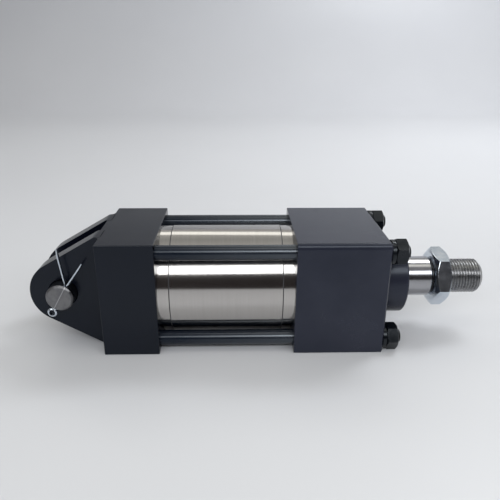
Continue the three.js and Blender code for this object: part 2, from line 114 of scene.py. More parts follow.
# ---------- node materials ----------
class Nodes:
    """A material under construction, with short calls for the nodes that the finishes share."""

    def __init__(self, name, colour, roughness, metallic):
        self.material = bpy.data.materials.new(name)
        self.material.use_nodes = True
        self.tree = self.material.node_tree
        self.shader = self.tree.nodes["Principled BSDF"]
        self.shader.inputs["Base Color"].default_value = (*colour, 1)
        self.shader.inputs["Roughness"].default_value = roughness
        self.shader.inputs["Metallic"].default_value = metallic
        self.place = self.node("ShaderNodeTexCoord").outputs["Object"]

    def node(self, kind, **settings):
        made = self.tree.nodes.new(kind)
        for name, value in settings.items():
            setattr(made, name, value)
        return made

    def join(self, source, target):
        self.tree.links.new(source, target)

    def stretched(self, scale, turn=(0, 0, 0)):
        mapping = self.node("ShaderNodeMapping")
        mapping.inputs["Scale"].default_value = scale
        mapping.inputs["Rotation"].default_value = turn
        self.join(self.place, mapping.inputs["Vector"])
        return mapping.outputs["Vector"]

    def noise(self, scale, stretch=(1, 1, 1), detail=4.0, rough=0.55):
        made = self.node("ShaderNodeTexNoise")
        made.inputs["Scale"].default_value = scale
        made.inputs["Detail"].default_value = detail
        made.inputs["Roughness"].default_value = rough
        self.join(self.stretched(stretch), made.inputs["Vector"])
        return made.outputs["Fac"]

    def ramp(self, value, low, high, start=0.0, end=1.0):
        """value between start and end becomes a number between low and high."""
        made = self.node("ShaderNodeMapRange")
        for name, number in zip(("From Min", "From Max", "To Min", "To Max"), (start, end, low, high)):
            made.inputs[name].default_value = number
        self.join(value, made.inputs["Value"])
        return made.outputs["Result"]

    def mix(self, factor, first, second):
        made = self.node("ShaderNodeMix", data_type="RGBA")
        for socket, colour in ((made.inputs[6], first), (made.inputs[7], second)):
            if isinstance(colour, tuple):
                socket.default_value = (*colour, 1)
            else:
                self.join(colour, socket)
        self.join(factor, made.inputs[0])
        return made.outputs[2]

    def add(self, first, second):
        made = self.node("ShaderNodeMath", operation="ADD")
        self.join(first, made.inputs[0])
        self.join(second, made.inputs[1])
        return made.outputs[0]

    def colour(self, value):
        self.join(value, self.shader.inputs["Base Color"])

    def roughness(self, value):
        self.join(value, self.shader.inputs["Roughness"])

    def bump(self, height, strength, distance):
        made = self.node("ShaderNodeBump")
        made.inputs["Strength"].default_value = strength
        made.inputs["Distance"].default_value = distance
        self.join(height, made.inputs["Height"])
        self.join(made.outputs["Normal"], self.shader.inputs["Normal"])

    def worn_edges(self, radius=0.5 * MM, reach=0.12):
        """1 on sharp edges and 0 on faces, broken up by noise."""
        edge = self.node("ShaderNodeBevel", samples=6)
        edge.inputs["Radius"].default_value = radius
        plain = self.node("ShaderNodeNewGeometry")
        dot = self.node("ShaderNodeVectorMath", operation="DOT_PRODUCT")
        self.join(edge.outputs["Normal"], dot.inputs[0])
        self.join(plain.outputs["Normal"], dot.inputs[1])
        sharp = self.ramp(dot.outputs["Value"], 1.0, 0.0, 1 - reach, 0.995)
        patchy = self.ramp(self.noise(260, detail=5), 0.0, 1.0, 0.42, 0.62)
        both = self.node("ShaderNodeMath", operation="MULTIPLY")
        self.join(sharp, both.inputs[0])
        self.join(patchy, both.inputs[1])
        return both.outputs[0]


def black_coat(name, dark, light, specular, worn):
    """A semi-gloss black coating; worn is its colour along sharp edges."""
    m = Nodes(name, dark, 0.3, 0.0)
    m.shader.inputs["Specular IOR Level"].default_value = specular
    m.shader.inputs["Specular Tint"].default_value = (0.82, 0.90, 1.0, 1)
    cloud = m.noise(22, detail=3)
    fine = m.noise(1400, detail=2)
    base = m.mix(m.ramp(cloud, 0, 1, 0.3, 0.7), dark, light)
    m.colour(m.mix(m.worn_edges(0.3 * MM), base, worn))
    m.roughness(m.add(m.ramp(cloud, 0.20, 0.28, 0.3, 0.7), m.ramp(fine, -0.02, 0.02)))
    m.bump(m.add(m.ramp(fine, 0, 1), m.ramp(m.noise(90, detail=2), 0, 2.0)), 0.08, 0.05 * MM)
    return m.material


def black_oxide():
    """Oiled black oxide, slightly paler along sharp edges."""
    m = Nodes("black_oxide", (0.007, 0.008, 0.010), 0.3, 0.0)
    m.shader.inputs["Specular IOR Level"].default_value = 0.36
    m.shader.inputs["Specular Tint"].default_value = (0.86, 0.93, 1.0, 1)
    blotch = m.noise(160, detail=4)
    base = m.mix(m.ramp(blotch, 0, 1, 0.35, 0.7), (0.002, 0.003, 0.005), (0.005, 0.006, 0.008))
    m.colour(m.mix(m.worn_edges(0.3 * MM), base, (0.016, 0.016, 0.017)))
    m.roughness(m.ramp(blotch, 0.16, 0.28, 0.3, 0.7))
    m.bump(m.noise(700, detail=3), 0.14, 0.05 * MM)
    return m.material


def tie_bar():
    """Oiled black bar; its reflection is painted stronger towards the front cover, a painted highlight for
    the brighter light there.
    """
    m = Nodes("tie_bar", (0.004, 0.007, 0.015), 0.2, 0.0)
    m.shader.inputs["Specular Tint"].default_value = (0.86, 0.93, 1.0, 1)
    along = m.node("ShaderNodeSeparateXYZ")
    m.join(m.place, along.inputs[0])
    # painted highlight: the specular level rises towards the front cover to stand in for brighter light on
    # that side
    oil = m.ramp(along.outputs["X"], 0.30, 1.0, X_REAR + 0.1 * BARREL, X_FRONT - 0.1 * BARREL)
    m.join(oil, m.shader.inputs["Specular IOR Level"])
    streak = m.noise(60, (0.5, 7, 7), detail=4)
    spots = m.noise(420, detail=3)
    m.colour(m.mix(m.ramp(streak, 0, 1, 0.35, 0.7), (0.003, 0.006, 0.013), (0.008, 0.011, 0.019)))
    m.roughness(m.add(m.ramp(streak, 0.20, 0.28, 0.3, 0.7), m.ramp(spots, -0.02, 0.02, 0.3, 0.7)))
    m.bump(m.add(streak, m.ramp(spots, 0, 0.25)), 0.04, 0.05 * MM)
    return m.material


def marks_round(m, axis, anisotropy):
    """Fine marks that run round an axis, so highlights stretch across them."""
    tangent = m.node("ShaderNodeTangent", direction_type="RADIAL", axis=axis)
    m.shader.inputs["Anisotropic"].default_value = anisotropy
    m.shader.inputs["Anisotropic Rotation"].default_value = 0.25
    m.join(tangent.outputs["Tangent"], m.shader.inputs["Tangent"])


def ground_steel():
    """Steel ground round the tube's axis, under an uneven film of oil."""
    m = Nodes("ground_steel", (0.50, 0.485, 0.47), 0.2, 1.0)
    marks_round(m, "X", 0.6)
    lines = m.noise(900, (1.0, 0.02, 0.02), detail=5, rough=0.7)
    film = m.noise(14, (1.0, 0.6, 2.5), detail=3)
    m.colour(m.mix(m.ramp(lines, 0, 1, 0.35, 0.65), (0.470, 0.451, 0.434), (0.50, 0.482, 0.465)))
    m.roughness(m.add(m.ramp(film, 0.12, 0.165, 0.3, 0.7), m.ramp(lines, -0.01, 0.015)))
    m.bump(lines, 0.02, 0.02 * MM)
    return m.material


def chrome():
    """Polished hard chrome with faint marks round the rod."""
    m = Nodes("chrome", (0.37, 0.375, 0.395), 0.18, 1.0)
    lines = m.noise(1100, (1.0, 0.02, 0.02), detail=3)
    m.colour(m.mix(m.ramp(m.noise(60), 0, 1, 0.35, 0.65), (0.32, 0.322, 0.338), (0.365, 0.367, 0.384)))
    m.roughness(m.ramp(lines, 0.15, 0.21, 0.3, 0.7))
    m.bump(lines, 0.04, 0.02 * MM)
    return m.material


def bare_thread():
    """Uncoated steel of the rod's relief and thread."""
    m = Nodes("bare_thread", (0.36, 0.36, 0.37), 0.3, 1.0)
    blotch = m.noise(320, detail=4)
    m.colour(m.mix(m.ramp(blotch, 0, 1, 0.35, 0.7), (0.26, 0.26, 0.265), (0.34, 0.34, 0.345)))
    m.roughness(m.ramp(blotch, 0.24, 0.34, 0.3, 0.7))
    m.bump(m.noise(2200, (1, 0.1, 0.1), detail=2), 0.05, 0.02 * MM)
    return m.material


def zinc_plate():
    """Bright, bluish zinc plate."""
    m = Nodes("zinc_plate", (0.62, 0.68, 0.75), 0.16, 1.0)
    blotch = m.noise(190, detail=5)
    m.colour(m.mix(m.ramp(blotch, 0, 1, 0.35, 0.65), (0.57, 0.64, 0.72), (0.66, 0.71, 0.77)))
    m.roughness(m.ramp(blotch, 0.13, 0.19, 0.3, 0.7))
    m.bump(m.add(m.noise(520, detail=3), m.ramp(blotch, 0, 1.0)), 0.05, 0.04 * MM)
    return m.material


def painted_highlight_line(m, place_on_pin):
    """1 on a fine line across the pin's end, parallel to the split pin's hole: a painted highlight of the
    kind a turned face shows.
    """
    offset = m.node("ShaderNodeVectorMath", operation="DOT_PRODUCT")
    m.join(place_on_pin, offset.inputs[0])
    offset.inputs[1].default_value = (math.sin(SPLIT_ANGLE), 0, -math.cos(SPLIT_ANGLE))
    distance = m.node("ShaderNodeMath", operation="ABSOLUTE")
    m.join(offset.outputs["Value"], distance.inputs[0])
    return m.ramp(distance.outputs[0], 0.8, 0.0, 0.12 * MM, 0.42 * MM)


def turned_steel():
    """The pin's ends: turning marks round its axis and a painted highlight line across."""
    m = Nodes("turned_steel", (0.18, 0.18, 0.19), 0.36, 1.0)
    marks_round(m, "Y", 0.75)
    wave = m.node("ShaderNodeTexWave", wave_type="RINGS", rings_direction="Y")
    wave.inputs["Scale"].default_value = 420
    wave.inputs["Distortion"].default_value = 0.6
    centred = m.node("ShaderNodeMapping")
    centred.inputs["Location"].default_value = (-X_PIN, 0, -AXIS)
    m.join(m.place, centred.inputs["Vector"])
    m.join(centred.outputs["Vector"], wave.inputs["Vector"])
    blotch = m.noise(230, detail=4)
    body = m.mix(m.ramp(blotch, 0, 1, 0.35, 0.65), (0.15, 0.15, 0.16), (0.21, 0.21, 0.215))
    # the bright line across the end is a painted highlight
    m.colour(m.mix(painted_highlight_line(m, centred.outputs["Vector"]), body, (0.42, 0.42, 0.43)))
    m.roughness(m.add(m.ramp(blotch, 0.31, 0.40, 0.3, 0.7), m.ramp(wave.outputs["Fac"], -0.03, 0.03)))
    m.bump(wave.outputs["Fac"], 0.10, 0.03 * MM)
    return m.material


def pin_side_painted_shade():
    """The pin's side, painted dark and bluish: painted shade for the dark ear it faces."""
    m = Nodes("pin_side_painted_shade", (0.08, 0.085, 0.10), 0.3, 1.0)
    marks_round(m, "Y", 0.5)
    blotch = m.noise(230, detail=4)
    m.colour(m.mix(m.ramp(blotch, 0, 1, 0.35, 0.65), (0.07, 0.075, 0.09), (0.10, 0.105, 0.12)))
    m.roughness(m.ramp(blotch, 0.26, 0.36, 0.3, 0.7))
    m.bump(m.noise(900, (1, 0.05, 1), detail=3), 0.06, 0.03 * MM)
    return m.material


def plain(name, dark, light, roughness, metallic, scale):
    """A fairly even finish: two close colours in a fine mottle."""
    m = Nodes(name, dark, roughness, metallic)
    mottle = m.noise(scale, detail=4)
    m.colour(m.mix(m.ramp(mottle, 0, 1, 0.35, 0.65), dark, light))
    m.roughness(m.ramp(mottle, roughness - 0.06, roughness + 0.06, 0.3, 0.7))
    m.bump(mottle, 0.12, 0.05 * MM)
    return m.material


COAT = black_coat("black_coat", (0.0016, 0.0026, 0.0062), (0.0030, 0.0040, 0.0092), 0.31,
                  (0.009, 0.010, 0.014))
# a lighter copy of the black coat for the front cover and the gland nose: painted light, for the brighter
# light that falls on the front cover's face
LIT_FRONT_COAT = black_coat("front_cover_coat_painted_light", (0.014, 0.016, 0.027), (0.025, 0.027, 0.041), 0.29,
                        (0.032, 0.034, 0.047))
OXIDE = black_oxide()
BAR = tie_bar()
GROUND = ground_steel()
CHROME = chrome()
THREAD = bare_thread()
ZINC = zinc_plate()
TURNED = turned_steel()
SHADED_PIN_SIDE = pin_side_painted_shade()
RUBBER = plain("nitrile", (0.008, 0.008, 0.008), (0.016, 0.016, 0.016), 0.55, 0.0, 300)
SEAL = plain("polyurethane", (0.02, 0.08, 0.20), (0.03, 0.11, 0.26), 0.42, 0.0, 240)
BRONZE = plain("bronze", (0.42, 0.26, 0.09), (0.52, 0.34, 0.13), 0.34, 1.0, 260)
WEAR = plain("wear_band", (0.20, 0.13, 0.07), (0.27, 0.19, 0.11), 0.6, 0.0, 900)
# a dark finish for the tube's grooves: painted shade
GROOVE_SHADE = plain("groove", (0.045, 0.045, 0.050), (0.065, 0.065, 0.070), 0.5, 0.0, 300)
STEEL = plain("plain_steel", (0.30, 0.30, 0.31), (0.40, 0.40, 0.41), 0.34, 1.0, 200)


# ---------- mesh tools ----------
def applied(piece):
    """The piece's mesh with its modifiers worked in."""
    bpy.context.view_layer.update()
    return bpy.data.meshes.new_from_object(piece.evaluated_get(bpy.context.evaluated_depsgraph_get()))


def shade(piece, angle):
    """Smooth shading that keeps wide flats flat and edges above the angle crisp."""
    piece.data.polygons.foreach_set("use_smooth", [True] * len(piece.data.polygons))
    piece.data.set_sharp_from_angle(angle=math.radians(angle))
    weighting = piece.modifiers.new("flats", "WEIGHTED_NORMAL")
    weighting.keep_sharp = True
    shaded = applied(piece)
    piece.modifiers.clear()
    piece.data = shaded


def place(name, mesh, materials, body, nodes, smooth_angle=32):
    """Turns finished geometry into a piece that rides on a body and stands for CAD nodes."""
    piece = bpy.data.objects.new(name, mesh)
    bpy.context.scene.collection.objects.link(piece)
    for material in materials:
        mesh.materials.append(material)
    shade(piece, smooth_angle)
    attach(piece, body)
    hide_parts(*nodes)
    return piece


def from_rings(name, rings, closed=True, capped=False, bands=None):
    """A surface through rings of equal length; bands gives the material index of each step between rings."""
    bm = bmesh.new()
    loops = [[bm.verts.new(point) for point in ring] for ring in rings]
    count = len(loops[0])
    steps = len(loops) if closed else len(loops) - 1
    for i in range(steps):
        lower, upper = loops[i], loops[(i + 1) % len(loops)]
        for j in range(count):
            k = (j + 1) % count
            face = bm.faces.new((lower[j], lower[k], upper[k], upper[j]))
            face.material_index = bands[i] if bands else 0
    if capped:
        bm.faces.new(loops[0])
        bm.faces.new(loops[-1])
    bmesh.ops.remove_doubles(bm, verts=bm.verts, dist=1e-7)
    bmesh.ops.recalc_face_normals(bm, faces=bm.faces)
    mesh = bpy.data.meshes.new(name)
    bm.to_mesh(mesh)
    bm.free()
    return mesh


def rounded(outline, radius, steps=3, closed=True):
    """The outline with each corner turned into a short arc."""
    result = []
    count = len(outline)
    for i, here in enumerate(outline):
        if not closed and i in (0, count - 1):
            result.append(here)
            continue
        here = Vector(here)
        back = Vector(outline[i - 1]) - here
        ahead = Vector(outline[(i + 1) % count]) - here
        reach = min(radius, back.length * 0.45, ahead.length * 0.45)
        start, end = here + back.normalized() * reach, here + ahead.normalized() * reach
        for k in range(steps + 1):
            t = k / steps
            result.append(tuple(start * (1 - t) ** 2 + here * 2 * t * (1 - t) + end * t * t))
    return result


def around_x(outline, y=0.0, z=AXIS, facets=128):
    """Rings of a turned piece about an axis along X; the outline holds (x, radius) pairs."""
    return [[(x, y - r * math.cos(TAU * j / facets), z + r * math.sin(TAU * j / facets))
             for j in range(facets)] for x, r in outline]


def around_y(outline, x, z, facets=96):
    return [[(x + r * math.cos(TAU * j / facets), y, z + r * math.sin(TAU * j / facets))
             for j in range(facets)] for y, r in outline]


def hexagon(flats, angle):
    """Distance from a hexagon's middle to its side, at an angle from one corner."""
    return flats / 2 / math.cos((angle % (TAU / 6)) - TAU / 12)


def hex_nut(name, x0, x1, flats, bore, y, z, turn):
    """A hex nut on an X axis, with 30 degree chamfers and round faces; turn is a corner's angle."""
    per_side = 10
    angles = [TAU * j / (6 * per_side) for j in range(6 * per_side)]
    face_r = 0.47 * flats
    lip = 0.25 * MM

    def ring(x_of, radius_of):
        points = []
        for a in angles:
            r = radius_of(a)
            around = a + turn
            points.append((x_of(r), y - r * math.cos(around), z + r * math.sin(around)))
        return points

    def side(scale):
        return lambda a: hexagon(flats, a) * scale

    drop = math.tan(math.radians(30))  # how far the chamfer falls back for each step outwards
    rings = [
        ring(lambda r: x0 + 0.8 * MM, lambda a: bore),
        ring(lambda r: x0, lambda a: bore + 0.9 * MM),
        ring(lambda r: x0, lambda a: face_r - lip),
        ring(lambda r: x0 + 0.04 * MM, lambda a: face_r),
        ring(lambda r: x0 + (r - face_r) * drop + 0.06 * MM, side(0.992)),
        ring(lambda r: x0 + (r - face_r) * drop + 0.30 * MM, side(1)),
        ring(lambda r: x1 - (r - face_r) * drop - 0.30 * MM, side(1)),
        ring(lambda r: x1 - (r - face_r) * drop - 0.06 * MM, side(0.992)),
        ring(lambda r: x1 - 0.04 * MM, lambda a: face_r),
        ring(lambda r: x1, lambda a: face_r - lip),
        ring(lambda r: x1, lambda a: bore + 0.9 * MM),
        ring(lambda r: x1 - 0.8 * MM, lambda a: bore),
    ]
    return from_rings(name, rings)


def thread_depth(turns):
    """Height of a rounded 60 degree thread below its crest, as a share of the pitch, at a place along it."""
    t = abs((turns % 1) - 0.5) * 2
    flank = min(max((t - 0.10) / 0.78, 0), 1)
    return 0.56 * (1 - flank)


def threaded(x0, x1, radius, pitch, y, z, start, ends, facets=72, per_pitch=10):
    """Rings of a male thread between x0 and x1; ends chamfers or fades it at (left, right)."""
    count = max(2, round((x1 - x0) / pitch * per_pitch))
    rings = []
    for i in range(count + 1):
        x = x0 + (x1 - x0) * i / count
        ring = []
        for j in range(facets):
            angle = TAU * j / facets
            crest = radius - thread_depth((x - x0) / pitch + j / facets + start) * pitch
            if ends[0]:
                crest = min(crest, radius - ends[0] + (x - x0))
            if ends[1]:
                crest = min(crest, radius - ends[1] + (x1 - x))
            ring.append((x, y - crest * math.cos(angle), z + crest * math.sin(angle)))
        rings.append(ring)
    return rings


def cover_block(name, x0, x1, edge, left, right, soft, top_round):
    """
    A square cover. edge chamfers its long edges, left and right chamfer its end faces, soft rounds those
    chamfers, and top_round is the depth and height of the rounded front top edge.
    """
    def section(inset):
        flat = HALF - inset
        chamfer = min(HALF - edge - (math.sqrt(2) - 1) * inset, flat - 0.02 * MM)
        back, down = (reach - inset for reach in top_round)
        arc = [(flat - down + down * math.cos(a), flat - back + back * math.sin(a))
               for a in [TAU / 4 * i / 10 for i in range(11)]]
        outline = []
        for k in range(4):
            corner = arc if k == 1 else [(flat, chamfer), (chamfer, flat)]
            c, s = round(math.cos(k * TAU / 4)), round(math.sin(k * TAU / 4))
            outline += [(c * y - s * z, s * y + c * z) for y, z in corner]
        return rounded(outline, soft)

    depth = 2 * MM
    stations = rounded([(x0, left + depth), (x0, left), (x0 + left, 0), (x1 - right, 0), (x1, right),
                        (x1, right + depth)], soft, closed=False)
    rings = [[(x, y, AXIS + z) for y, z in section(inset)] for x, inset in stations]
    return from_rings(name, rings, closed=False, capped=True)


def cut_away(piece, rings):
    """Cuts a turned shape out of a piece."""
    cutter = bpy.data.objects.new("cutter", from_rings("cutter", rings, closed=False, capped=True))
    bpy.context.scene.collection.objects.link(cutter)
    cutter.data.materials.append(piece.data.materials[0])
    modifier = piece.modifiers.new("cut", "BOOLEAN")
    modifier.operation = "DIFFERENCE"
    modifier.solver = "EXACT"
    modifier.object = cutter
    cut = applied(piece)
    piece.modifiers.clear()
    piece.data = cut
    bpy.data.objects.remove(cutter)
    shade(piece, 32)


# ---------- covers and clevis ----------
def ear_edge(angle):
    """Distance from the pin's axis to the ear's edge; the part inside the cover ends 1 mm in."""
    far = 1  # a metre, for a side that is not reached at this angle
    a = abs((angle + math.pi) % TAU - math.pi)
    right = (PIN_TO_COVER + 1 * MM) / math.cos(a) if a < 1.5 else far
    top = HALF / math.sin(a) if 0.1 < a < math.pi - 0.1 else far
    tangent = math.pi / 2 + EAR_TAPER
    taper = EAR_R if a >= tangent else EAR_R / max(math.cos(a - tangent), 1e-6)
    if a < tangent - math.pi / 2 + 0.02:
        taper = far
    return min(right, top, taper)


def ear(name, y0, y1):
    """One clevis ear: a plate round the pin's hole, with softened rims."""
    corners = [math.atan2(HALF, PIN_TO_COVER + 1 * MM),
               math.atan2(HALF, (HALF - EAR_R * math.cos(EAR_TAPER)) / math.tan(EAR_TAPER)
                          - EAR_R * math.sin(EAR_TAPER))]
    angles = sorted({round(a, 6) for a in [TAU * j / 120 for j in range(120)]
                     + [s * c for c in corners for s in (1, -1)] if a >= 0}
                    | {round(TAU - c, 6) for c in corners})
    hole = PIN_R + 0.2 * MM
    soft = 0.3 * MM

    def ring(y, radius_of):
        return [(X_PIN + radius_of(a) * math.cos(a), y, AXIS + radius_of(a) * math.sin(a)) for a in angles]

    profile = []
    for y, inward in ((y0, 1), (y1, -1)):
        face = [
            ring(y + inward * HOLE_CHAMFER, lambda a: hole),
            ring(y, lambda a: hole + HOLE_CHAMFER),
            ring(y, lambda a: ear_edge(a) - soft),
            ring(y + inward * 0.3 * soft, lambda a: ear_edge(a) - 0.3 * soft),
            ring(y + inward * soft, ear_edge),
        ]
        profile += face if inward > 0 else face[::-1]
    return from_rings(name, profile)


def clevis_root(name):
    """The floor of the gap between the ears, and a fillet where each ear's outer face meets the cover."""
    y_ear, y_mid = EAR_GAP / 2 + EAR_THICK, EAR_GAP / 2 + EAR_THICK / 2
    arc = [(X_BACK - ROOT_FILLET * (1 - math.sin(a)), y_ear + ROOT_FILLET * (1 - math.cos(a)))
           for a in [TAU / 4 * k / 8 for k in range(9)]]
    half = [(X_BACK - GAP_FLOOR, y_mid), (X_BACK - ROOT_FILLET, y_mid)] + arc
    half.append((X_BACK + 1 * MM, y_ear + ROOT_FILLET))
    outline = half + [(x, -y) for x, y in reversed(half)]
    height = HALF - 0.1 * MM
    return from_rings(name, [[(x, y, AXIS + z) for x, y in outline] for z in (-height, height)],
                      closed=False, capped=True)


def port_cutter(x):
    """The port's mouth: a chamfered hole down the Y axis."""
    radius = (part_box("port_plug_rear")[1].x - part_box("port_plug_rear")[0].x) / 2 + 0.15 * MM
    outline = [(HALF - 4 * MM, radius), (HALF - 0.8 * MM, radius), (HALF + 0.4 * MM, radius + 1.2 * MM)]
    return around_y(outline, x, AXIS, 64)


def plug_x(name):
    low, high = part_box(name)
    return (low.x + high.x) / 2


ears = [ear("ear_front", -EAR_GAP / 2 - EAR_THICK, -EAR_GAP / 2),
        ear("ear_back", EAR_GAP / 2, EAR_GAP / 2 + EAR_THICK)]
rear_block = cover_block("rear_block", X_BACK, X_REAR, edge=0.4 * MM, left=0.4 * MM, right=0.4 * MM,
                         soft=0.2 * MM, top_round=REAR_TOP_ROUND)
rear_cover = place("rear_cover_shown", rear_block, [COAT], "housing", ["rear_cover"])
cut_away(rear_cover, port_cutter(plug_x("port_plug_rear")))
for side, mesh in zip(("front", "back"), ears):
    place(f"clevis_ear_{side}", mesh, [COAT], "housing", [])
place("clevis_root", clevis_root("clevis_root"), [COAT], "housing", [])
front_block = cover_block("front_block", X_FRONT, X_FACE, edge=0.5 * MM, left=0.15 * MM,
                          right=FRONT_CHAMFER, soft=0.3 * MM, top_round=FRONT_TOP_ROUND)
# the front cover takes the lighter coat, which is painted light
front_cover = place("front_cover_shown", front_block, [LIT_FRONT_COAT], "housing", ["front_cover"])
cut_away(front_cover, port_cutter(plug_x("port_plug_front")))

# ---------- tube ----------
groove = 0.22 * MM
step_left, step_right = X_REAR + TUBE_END_SHOWN, X_FRONT - TUBE_END_SHOWN
bore_r = TUBE_R - TUBE_WALL
tube_outline = [
    (tube_lo.x, bore_r), (tube_lo.x, TUBE_END_R),
    (step_left - groove, TUBE_END_R), (step_left, TUBE_END_R - groove),
    (step_left + groove, TUBE_R - 0.1 * MM), (step_left + 2 * groove, TUBE_R),
    (step_right - 2 * groove, TUBE_R), (step_right - groove, TUBE_R - 0.1 * MM),
    (step_right, TUBE_END_R - groove), (step_right + groove, TUBE_END_R),
    (tube_hi.x, TUBE_END_R), (tube_hi.x, bore_r)]
# the surfaces that start at these points lie in a groove and are painted dark, a painted shade for the
# groove's shadow
groove_shaded = [1 if i in (2, 3, 4, 6, 7, 8) else 0 for i in range(len(tube_outline))]
tube_mesh = from_rings("barrel_tube_shown", around_x(tube_outline, facets=256), bands=groove_shaded)
place("barrel_tube_shown", tube_mesh, [GROUND, GROOVE_SHADE], "housing", ["barrel_tube"],
      smooth_angle=25)

# ---------- tie rods, washers and nuts ----------
for corner, (turn, start) in CORNERS.items():
    low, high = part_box(f"tie_rod_{corner}")
    y, z, r = (low.y + high.y) / 2, (low.z + high.z) / 2, (high.z - low.z) / 2
    stud = X_FACE + 1 * MM
    profile = [(low.x, 0.2 * r), (low.x, r - 1 * MM), (low.x + 1 * MM, r), (stud - 1 * MM, r)]
    body = around_x(profile, y, z, 72)
    thread = threaded(stud, high.x, r, TIE_PITCH, y, z, start, (0.4 * MM, 0.9 * MM))
    end = around_x([(high.x, 0.05 * r)], y, z, 72)
    bands = [0] * (len(body)) + [1] * (len(thread))
    mesh = from_rings(f"tie_rod_{corner}_shown", body + thread + end, closed=False, capped=True, bands=bands)
    place(f"tie_rod_{corner}_shown", mesh, [BAR, OXIDE], "housing", [f"tie_rod_{corner}"])

    low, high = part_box(f"spring_washer_{corner}")
    outer, inner = (high.z - low.z) / 2, r + 0.3 * MM
    section = rounded([(low.x, inner), (low.x, outer), (high.x, outer), (high.x, inner)], 0.35 * MM)
    open_half = math.asin(0.5 * MM / outer)
    steps = 64
    rings = []
    for j in range(steps + 1):
        a = turn + math.pi + open_half + (TAU - 2 * open_half) * j / steps
        rings.append([(x, y - q * math.cos(a), z + q * math.sin(a)) for x, q in section])
    mesh = from_rings(f"spring_washer_{corner}_shown", rings, closed=False, capped=True)
    place(f"spring_washer_{corner}_shown", mesh, [OXIDE], "housing",
          [f"spring_washer_{corner}"])

    low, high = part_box(f"tie_nut_{corner}")
    mesh = hex_nut(f"tie_nut_{corner}_shown", low.x, high.x, TIE_NUT_FLATS, r - 0.4 * MM, y, z, turn)
    place(f"tie_nut_{corner}_shown", mesh, [OXIDE], "housing", [f"tie_nut_{corner}"], 18)

# ---------- gland nose and wiper ----------
nose = rounded([
    (X_FACE - 1 * MM, GLAND_POCKET_R), (X_FACE - 1 * MM, NOSE_R - 0.4 * MM),
    (X_FACE + 0.3 * MM, NOSE_R - 0.4 * MM), (X_FACE + 0.6 * MM, NOSE_R),
    (gland_hi.x - 1 * MM, NOSE_R), (gland_hi.x, NOSE_R - 1 * MM), (gland_hi.x, GLAND_POCKET_R)], 0.3 * MM)
# the nose takes the front cover's lighter coat, which is painted light
place("gland_nose", from_rings("gland_nose", around_x(nose, facets=160)), [LIT_FRONT_COAT], "housing",
      ["rod_gland"])
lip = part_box("rod_wiper")[1].x
wiper_r = GLAND_POCKET_R - 0.2 * MM
wiper = rounded([
    (lip - 8 * MM, ROD_R + 0.1 * MM), (lip - 8 * MM, wiper_r), (lip - 1.8 * MM, wiper_r),
    (lip - 1.4 * MM, ROD_R + 2.2 * MM), (lip, ROD_R + 0.9 * MM), (lip, ROD_R + 0.1 * MM)], 0.3 * MM)
place("wiper_ring", from_rings("wiper_ring", around_x(wiper, facets=128)), [RUBBER], "housing",
      ["rod_wiper"])

# ---------- rod ----------
thread_from = lock_lo.x
piston_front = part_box("piston")[1].x
rod_profile = rounded([(rod_lo.x, 0.2 * MM), (rod_lo.x, STUB_R - 1 * MM), (rod_lo.x + 1 * MM, STUB_R),
                       (piston_front, STUB_R), (piston_front, ROD_R), (X_SHOULDER - 1.5 * MM, ROD_R),
                       (X_SHOULDER, ROD_R - 1.5 * MM), (X_SHOULDER, RELIEF_R + 0.6 * MM),
                       (X_SHOULDER + 0.6 * MM, RELIEF_R), (thread_from, RELIEF_R)], 0.25 * MM, closed=False)
body = around_x(rod_profile, facets=144)
thread = threaded(thread_from, rod_hi.x, THREAD_R, THREAD_PITCH, 0, AXIS, 0.3, (1.2 * MM, 3 * MM), 144, 14)
end = around_x([(rod_hi.x, 0.2 * MM)], facets=144)
bands = [0 if x < X_SHOULDER - 0.8 * MM else 1 for x, _ in rod_profile] + [1] * len(thread)
rod_mesh = from_rings("piston_rod_shown", body + thread + end, closed=False, capped=True, bands=bands)
place("piston_rod_shown", rod_mesh, [CHROME, THREAD], "rod", ["piston_rod"])
lock = hex_nut("rod_lock_nut_shown", lock_lo.x, lock_hi.x, LOCK_NUT_FLATS, THREAD_R - 0.6 * MM, 0, AXIS,
               LOCK_NUT_TURN)
place("rod_lock_nut_shown", lock, [ZINC], "rod", ["rod_lock_nut"], 18)

# ---------- clevis pin and split pins ----------
pin_outline = rounded([
    (-Y_PIN, 0.2 * MM), (-Y_PIN, PIN_R - PIN_CHAMFER), (PIN_CHAMFER - Y_PIN, PIN_R),
    (Y_PIN - PIN_CHAMFER, PIN_R), (Y_PIN, PIN_R - PIN_CHAMFER), (Y_PIN, 0.2 * MM)], 0.25 * MM, closed=False)
on_side = [1 if abs(y) < Y_PIN - 0.9 * PIN_CHAMFER else 0 for y, _ in pin_outline]
pin_mesh = from_rings("clevis_pin_shown", around_y(pin_outline, X_PIN, AXIS), closed=False, capped=True,
                      bands=on_side)
# the pin's side takes the painted shade finish
place("clevis_pin_shown", pin_mesh, [TURNED, SHADED_PIN_SIDE], "pin", ["clevis_pin"])


def smooth_path(points, per_span=8):
    """A Catmull-Rom line through points in the plane."""
    result = []
    padded = [points[0]] + points + [points[-1]]
    for a, b, c, d in zip(padded, padded[1:], padded[2:], padded[3:]):
        for k in range(per_span):
            t = k / per_span
            result.append(0.5 * (2 * b + (c - a) * t + (2 * a - 5 * b + 4 * c - d) * t * t
                                 + (3 * b - a - 3 * c + d) * t ** 3))
    return result + [points[-1]]


